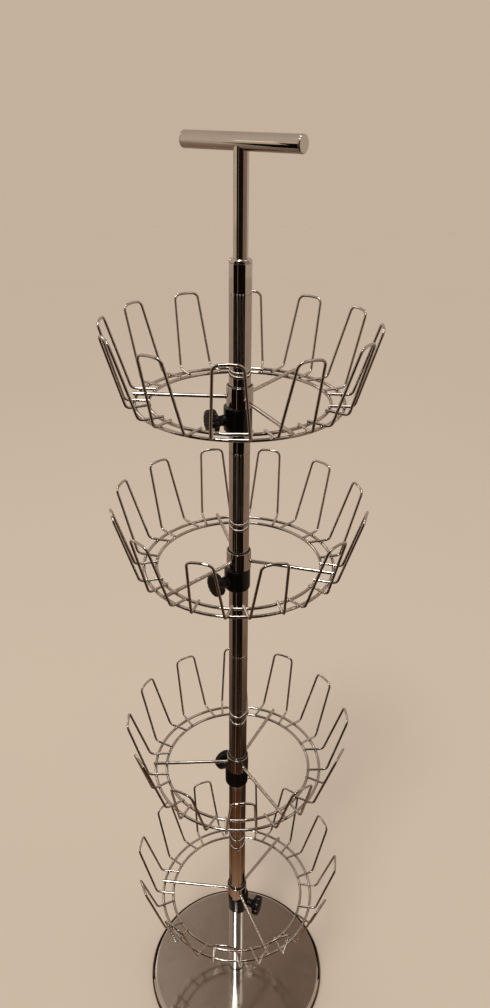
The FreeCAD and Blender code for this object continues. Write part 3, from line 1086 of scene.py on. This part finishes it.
def panel_lamp(name, place, size, power, colour):
    """A flat soft lamp that points at the middle of the tower."""
    light = bpy.data.lights.new(name, "AREA")
    light.shape = "RECTANGLE"
    light.size, light.size_y = size
    light.energy = power
    light.color = colour
    holder = bpy.data.objects.new(name, light)
    holder.location = place
    holder.rotation_mode = "QUATERNION"
    aim = Vector((0, 0, lamp_target_height)) - Vector(place)
    holder.rotation_quaternion = aim.to_track_quat("-Z", "Y")
    bpy.context.scene.collection.objects.link(holder)


lamp_colour = (1.0, 0.955, 0.90)
far_lamp("key_lamp", -28.0, 58.0, 18.0, 0.65, lamp_colour, mirrored=False)
far_lamp("key_glint", -25.0, 58.0, 11.0, 0.8, lamp_colour)
far_lamp("side_lamp", 80.0, 57.0, 15.0, 0.08, lamp_colour)
panel_lamp("top_lamp", (0.0, 0.0, 3.2), (0.5, 0.5), 9.0, lamp_colour)
panel_lamp("edge_lamp", (-1.25, 1.3, 1.85), (0.5, 0.5), 2.0, lamp_colour)
panel_lamp("handle_lamp", (-2.31, -0.89, 1.68), (0.16, 0.14), 0.085, (1.0, 0.9, 0.55))

patch_elevation = 57.0
dim_patches = (
    (160.0, 0.94, 0.995, (0.21, 0.145, 0.105, 1)),
    (0.0, 0.70, 0.95, (0.20, 0.165, 0.14, 1)))


def studio_air():
    """Soft light from all round, warm as from painted walls, brighter at the front.

    Each dim patch has its azimuth, the cosines at its edge and middle, and its colour."""
    world = bpy.data.worlds.new("studio_air")
    world.use_nodes = True
    tree = world.node_tree
    tree.nodes.clear()
    ray = put(tree, "ShaderNodeTexCoord").outputs["Generated"]
    parts = put(tree, "ShaderNodeSeparateXYZ", Vector=ray)
    room = toned(tree, parts.outputs["Z"], [(0.1, wall_colour), (0.9, high_wall_colour)])
    for azimuth, edge, middle, colour in dim_patches:
        near = put(tree, "ShaderNodeVectorMath", {"operation": "DOT_PRODUCT"})
        feed(tree, near.inputs[0], ray)
        feed(tree, near.inputs[1], toward(azimuth, patch_elevation))
        share = ranged(tree, near.outputs["Value"], (edge, middle), kind="SMOOTHSTEP")
        room = mixed(tree, share, room, colour)
    front = ranged(tree, parts.outputs["Y"], (0.8, -0.1), (1.0, 1.25))
    seen = put(tree, "ShaderNodeBackground", Color=room, Strength=front)
    lit = put(tree, "ShaderNodeBackground", Color=air_colour, Strength=1.0)
    path = put(tree, "ShaderNodeLightPath")
    shows = reckon(tree, "MAXIMUM", path.outputs["Is Camera Ray"], reckon(
        tree, "MAXIMUM", path.outputs["Is Glossy Ray"], path.outputs["Is Transmission Ray"]))
    either = put(tree, "ShaderNodeMixShader", Fac=shows)
    tree.links.new(lit.outputs[0], either.inputs[1])
    tree.links.new(seen.outputs[0], either.inputs[2])
    surface = put(tree, "ShaderNodeOutputWorld")
    tree.links.new(either.outputs[0], surface.inputs["Surface"])
    bpy.context.scene.world = world


studio_air()
bpy.context.scene.view_settings.view_transform = "Standard"

# ------------------------------
# CAMERA
# Close in front, a little above the handle, tilted down so that the handle is near the top of
# the frame and the base is cut by its lower edge.
# ------------------------------

camera_place = Vector((0.0, -0.85618, 1.3714))
camera_down = math.radians(27.42)
camera_aside = math.radians(0.48)
camera_roll = math.radians(0.56)
frame_height = 1008
focal_pixels = 784.03
lens = bpy.data.cameras.new("camera")
lens.sensor_width = 36.0
lens.lens = focal_pixels / frame_height * lens.sensor_width
lens.clip_start = 0.02
lens.clip_end = 60.0
view_line = Vector((
    math.sin(camera_aside) * math.cos(camera_down), math.cos(camera_aside) * math.cos(camera_down),
    -math.sin(camera_down)))
level_right = Vector((math.cos(camera_aside), -math.sin(camera_aside), 0))
level_up = level_right.cross(view_line)
right = level_right * math.cos(camera_roll) + level_up * math.sin(camera_roll)
up = level_up * math.cos(camera_roll) - level_right * math.sin(camera_roll)
camera = bpy.data.objects.new("camera", lens)
camera.matrix_world = Matrix((
    (right.x, up.x, -view_line.x, camera_place.x),
    (right.y, up.y, -view_line.y, camera_place.y),
    (right.z, up.z, -view_line.z, camera_place.z),
    (0, 0, 0, 1)))
bpy.context.scene.collection.objects.link(camera)
bpy.context.scene.camera = camera
